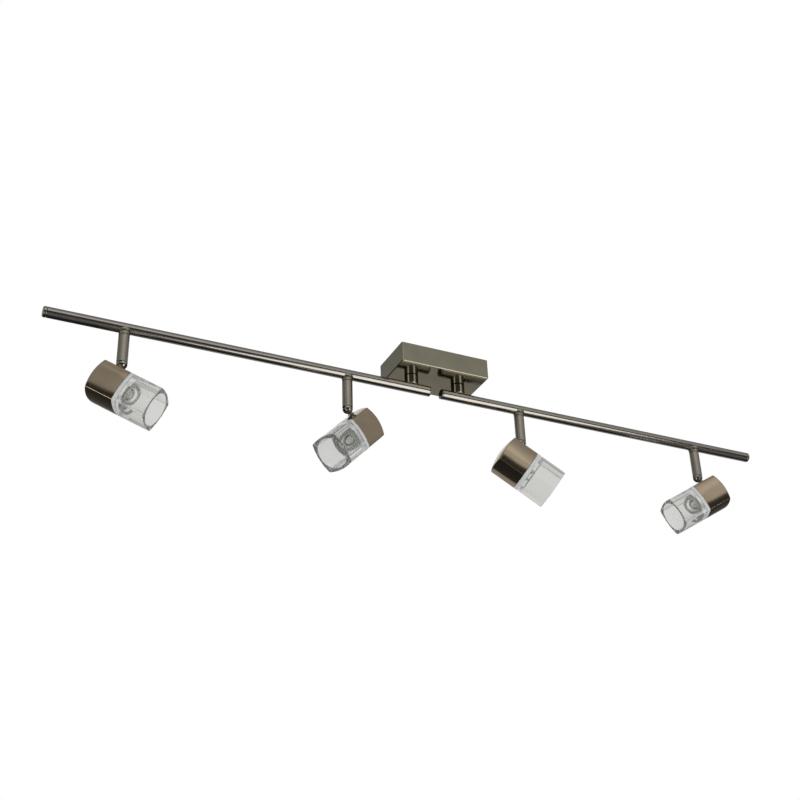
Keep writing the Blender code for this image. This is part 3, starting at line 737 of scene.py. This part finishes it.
def shade(head, tilt):
    """Thick pressed glass: bowed outside, rounder bore, round recess behind the bore."""
    back, front = JUNCTION + BAND_LEN + GAP, JUNCTION + SHADE_LEN
    floor = back + SHADE_BACK
    corner, bulge, hole = HEAD_CORNER, HEAD_BULGE, SHADE_HOLE_R
    soften, bore_soften = 1.3, 5.5
    bore = corner - SHADE_WALL
    edge, steps = 0.7, 5
    rings = []
    for i in range(steps + 1):
        turn = math.pi / 2 * i / steps
        inset, x = 0.4 * (1 - math.sin(turn)), back + 0.4 * (1 - math.cos(turn))
        rings.append(head_outline(corner - inset, bulge, soften, x))
    for i in range(steps + 1):
        turn = math.pi / 2 * i / steps
        inset, x = edge * (1 - math.cos(turn)), front - edge * (1 - math.sin(turn))
        rings.append(head_outline(corner - inset, bulge, soften, x))
    for i in range(steps + 1):
        turn = math.pi / 2 * i / steps
        inset, x = edge * (1 - math.sin(turn)), front - edge * (1 - math.cos(turn))
        rings.append(head_outline(bore + inset, bulge, bore_soften, x))
    for i in range(steps + 1):
        turn = math.pi / 2 * i / steps
        inset, x = 1.4 * (1 - math.cos(turn)), floor + 1.4 * (1 - math.sin(turn))
        rings.append(head_outline(bore - inset, bulge, bore_soften, x))
    outline = rings[0]
    for radius, x in ((hole + 0.4, floor), (hole, floor - 0.4), (hole, back + 0.4), (hole + 0.4, back)):
        rings.append(round_like(outline, radius, x))
    obj = as_object(f"{head}_glass", ring_mesh(rings, loop=True))
    fit(obj, tilt, f"{head}_lamp", "clear_glass", f"{head}_shade")


def lampholder(head, tilt):
    """Ceramic two-pin holder with a stepped face and a socket for each pin."""
    low, high = -11.2, -1.6
    rings = []
    for half_x, half_y, corner, z in (
        (8.2, 6.0, 2.8, low),
        (8.6, 6.4, 3.0, low + 0.4),
        (8.6, 6.4, 3.0, high - 2.2),
        (8.3, 6.1, 2.8, high - 1.9),
        (7.8, 5.6, 2.6, high - 1.9),
        (7.8, 5.6, 2.6, high - 0.3),
        (7.5, 5.3, 2.4, high),
    ):
        rings.append(rounded_rectangle(half_x, half_y, corner, z, 8))
    obj = as_object(f"{head}_ceramic", ring_mesh(rings))
    for side in (-1, 1):
        combine(obj, plug(1.4, -7.5, 0, 32), place(side * LAMP_PIN_SPACING / 2))
    fit(obj, tilt @ LAMP_AXIS, f"{head}_lamp", "ceramic_white", f"{head}_lampholder")


def bulb(head, tilt):
    """Two-pin halogen capsule: pressed base, milky envelope, coiled filament on its supports."""
    base, front, wall = -1.2, 31.5, ENVELOPE_WALL
    axis, body = tilt @ LAMP_AXIS, f"{head}_lamp"
    centre = front - BULB_R
    outside = [(0, base), (5.4, base), (BULB_NECK_R, base + 0.8)]
    outside += [(BULB_NECK_R, base + 9), (BULB_R, base + 11)]
    for i in range(12):
        angle = math.pi / 2 * i / 12
        outside.append((BULB_R * math.cos(angle), centre + BULB_R * math.sin(angle)))
    outside.append((0, front))
    envelope = as_object(f"{head}_capsule", turned(outside, 64, 0.3))
    hollow = [(0, base + 9), (BULB_NECK_R - wall - 1.5, base + 9.4), (BULB_R - wall, base + 12.5)]
    for i in range(12):
        angle = math.pi / 2 * i / 12
        hollow.append(((BULB_R - wall) * math.cos(angle), centre + (BULB_R - wall) * math.sin(angle)))
    hollow.append((0, front - wall))
    combine(envelope, turned(hollow, 64, 0.3))
    fit(envelope, axis, body, "bulb_glass", f"{head}_bulb")

    coil, per_turn = [], 12
    for i in range(COIL_TURNS * per_turn + 1):
        turn = 2 * math.pi * i / per_turn
        x = -COIL_HALF + 2 * COIL_HALF * i / (COIL_TURNS * per_turn)
        coil.append((x, COIL_R * math.cos(turn), 21 + COIL_R * math.sin(turn)))
    wire = [(-4.0, 0, base + 9.2), (-4.0, 0, 14), (-3.8, 0, 19), (-3.4, 0.4, 21)] + coil
    wire += [(3.4, 0.4, 21), (3.8, 0, 19), (4.0, 0, 14), (4.0, 0, base + 9.2)]
    filament = wire_object(f"{head}_filament", wire, 0.22)
    fit(filament, axis, body, "knuckle_chrome", finish="tungsten")
    for side in (-1, 1):
        profile = [(0, -6.5), (0.6, -6.5), (LAMP_PIN_R, -6.2), (LAMP_PIN_R, base - 0.1), (0, base - 0.1)]
        pin = as_object(f"{head}_lamp_pin_{'a' if side < 0 else 'b'}", turned(profile, 24, 0.15))
        fit(pin, axis @ place(side * LAMP_PIN_SPACING / 2), body, "zinc_steel")


def wire_object(name, points, radius):
    """A thin bent wire as a mesh tube."""
    curve = bpy.data.curves.new(name, "CURVE")
    curve.dimensions = "3D"
    curve.bevel_depth = radius * 0.001
    curve.bevel_resolution = 2
    curve.use_fill_caps = True
    line = curve.splines.new("POLY")
    line.points.add(len(points) - 1)
    for point, where in zip(line.points, points):
        point.co = (*mm(*where), 1.0)
    temporary = bpy.data.objects.new(name + "_path", curve)
    bpy.context.scene.collection.objects.link(temporary)
    bpy.context.view_layer.update()
    graph = bpy.context.evaluated_depsgraph_get()
    mesh = bpy.data.meshes.new_from_object(temporary.evaluated_get(graph))
    bpy.data.objects.remove(temporary, do_unlink=True)
    obj = bpy.data.objects.new(name, mesh)
    bpy.context.scene.collection.objects.link(obj)
    return obj


def head_pieces(head):
    swivel, tilt = head_frames(head)
    stem(head, swivel)
    knuckle(head, swivel)
    tongue(head, tilt)
    housing(head, tilt)
    gasket(head, tilt)
    shade(head, tilt)
    lampholder(head, tilt)
    bulb(head, tilt)


# ---- studio ----
def floor():
    made = bmesh.new()
    bmesh.ops.create_grid(made, x_segments=1, y_segments=1, size=FLOOR_SIZE)
    obj = as_object("floor", made)
    obj.location.z = FLOOR_Z
    material, tree, shader = new_material("floor_paint", (0.9, 0.9, 0.9), 0.0, 0.8)
    tint(tree, noise(tree, 3), shader.inputs["Base Color"], (0.87, 0.87, 0.87), (0.91, 0.91, 0.91))
    obj.data.materials.append(material)
    obj.visible_glossy = False
    obj.visible_transmission = False


def soft_light(name, location, target, width, height, radiance, colour=(1.0, 0.985, 0.96)):
    """A rectangular softbox. radiance is how bright its face looks in a mirror."""
    data = bpy.data.lights.new(name, "AREA")
    data.shape = "RECTANGLE"
    data.size, data.size_y = width, height
    data.energy = radiance * math.pi * width * height
    data.color = colour
    obj = bpy.data.objects.new(name, data)
    obj.location = location
    obj.rotation_euler = (Vector(target) - Vector(location)).to_track_quat("-Z", "Y").to_euler()
    obj.visible_camera = False
    obj.visible_transmission = False
    bpy.context.scene.collection.objects.link(obj)


def lights():
    middle = (0, 0, -0.05)
    soft_light("front_high", (-0.35, -1.63, 1.1), middle, 1.8, 1.1, 0.22)
    soft_light("front_low_right", (0.85, -1.5, -1.3), middle, 0.95, 2.0, 1.9)
    soft_light("left_low", (-1.7, -0.36, -1.0), middle, 0.7, 1.2, 1.8)
    soft_light("back_low", (1.1, 1.6, -0.7), (1.1, 0, -0.7), 2.2, 1.6, 0.36)


def world():
    """White behind the object, light through the glass, and a dim room in the metal."""
    made = bpy.data.worlds.new("studio")
    bpy.context.scene.world = made
    made.use_nodes = True
    made.cycles.sampling_method = "NONE"
    tree = made.node_tree
    tree.nodes.clear()
    coords = tree.nodes.new("ShaderNodeTexCoord")
    split = tree.nodes.new("ShaderNodeSeparateXYZ")
    tree.links.new(coords.outputs["Generated"], split.inputs["Vector"])
    rise = tree.nodes.new("ShaderNodeMapRange")
    rise.inputs["From Min"].default_value = -1.0
    tree.links.new(split.outputs["Z"], rise.inputs["Value"])
    rays = tree.nodes.new("ShaderNodeLightPath")

    def dome(stops):
        """A background whose grey depends on height, from straight down at 0 to straight up at 1."""
        ramp = tree.nodes.new("ShaderNodeValToRGB")
        elements = ramp.color_ramp.elements
        for position, grey in stops[1:-1]:
            elements.new(position).color = (grey, grey, grey, 1.0)
        for element, (position, grey) in zip(elements, stops):
            element.position = position
            element.color = (grey, grey, grey, 1.0)
        tree.links.new(rise.outputs["Result"], ramp.inputs["Fac"])
        shade_node = tree.nodes.new("ShaderNodeBackground")
        tree.links.new(ramp.outputs["Color"], shade_node.inputs["Color"])
        return shade_node.outputs["Background"]

    def share(source, start, end):
        """0 below start, 1 above end, smooth between."""
        ranged = tree.nodes.new("ShaderNodeMapRange")
        ranged.interpolation_type = "SMOOTHSTEP"
        ranged.inputs["From Min"].default_value = start
        ranged.inputs["From Max"].default_value = end
        tree.links.new(source, ranged.inputs["Value"])
        return ranged.outputs["Result"]

    def between(amount, other, chosen):
        mix = tree.nodes.new("ShaderNodeMixShader")
        tree.links.new(amount, mix.inputs["Fac"])
        tree.links.new(other, mix.inputs[1])
        tree.links.new(chosen, mix.inputs[2])
        return mix.outputs["Shader"]

    facing = tree.nodes.new("ShaderNodeVectorMath")
    facing.operation = "DOT_PRODUCT"
    facing.inputs[1].default_value = Vector(BACKDROP).normalized()
    tree.links.new(coords.outputs["Generated"], facing.inputs[0])

    soft = dome(((0.0, 0.55), (0.5, 0.65), (1.0, 0.75)))
    rear = dome(((0.0, 0.02), (0.35, 0.04), (0.55, 0.10), (0.72, 0.34), (1.0, 0.10)))
    front = dome(((0.0, 0.16), (0.25, 0.16), (0.36, 0.03), (0.57, 0.04), (0.61, 0.40), (1.0, 0.40)))
    ahead = dome(((0.0, 0.16), (0.25, 0.16), (0.36, 0.03), (0.56, 0.05), (0.60, 0.66), (1.0, 0.62)))
    room = between(share(split.outputs["Y"], 0.15, -0.25), rear, front)
    room = between(share(split.outputs["Y"], -0.60, -0.85), room, ahead)
    white = dome(((0.0, 0.9), (1.0, 0.9)))
    room = between(share(facing.outputs["Value"], 0.90, 0.96), room, white)
    through = dome(((0.0, 0.30), (0.25, 0.42), (0.42, 0.66), (0.85, 0.68), (1.0, 0.45)))
    backdrop = dome(((0.0, 1.0), (1.0, 1.0)))
    seen = between(rays.outputs["Is Glossy Ray"], soft, room)
    seen = between(rays.outputs["Transmission Depth"], seen, through)
    seen = between(rays.outputs["Is Camera Ray"], seen, backdrop)
    output = tree.nodes.new("ShaderNodeOutputWorld")
    tree.links.new(seen, output.inputs["Surface"])


def camera():
    data = bpy.data.cameras.new("camera")
    data.lens, data.sensor_width = CAMERA_LENS, SENSOR
    obj = bpy.data.objects.new("camera", data)
    obj.location = CAMERA_AT
    obj.rotation_euler = Euler([math.radians(turn) for turn in CAMERA_TURNS])
    bpy.context.scene.collection.objects.link(obj)
    bpy.context.scene.camera = obj
    bpy.context.scene.view_settings.view_transform = "Standard"


def glass_light_paths():
    """Lets light bounce far enough inside the thick glass to leave it again."""
    cycles = bpy.context.scene.cycles
    cycles.max_bounces, cycles.glossy_bounces, cycles.transmission_bounces = 24, 16, 16


canopy()
for arm_label, arm_side in (("left", -1), ("right", 1)):
    arm(arm_label, arm_side)
for head_name in HEADS:
    head_pieces(head_name)
floor()
lights()
world()
camera()
glass_light_paths()
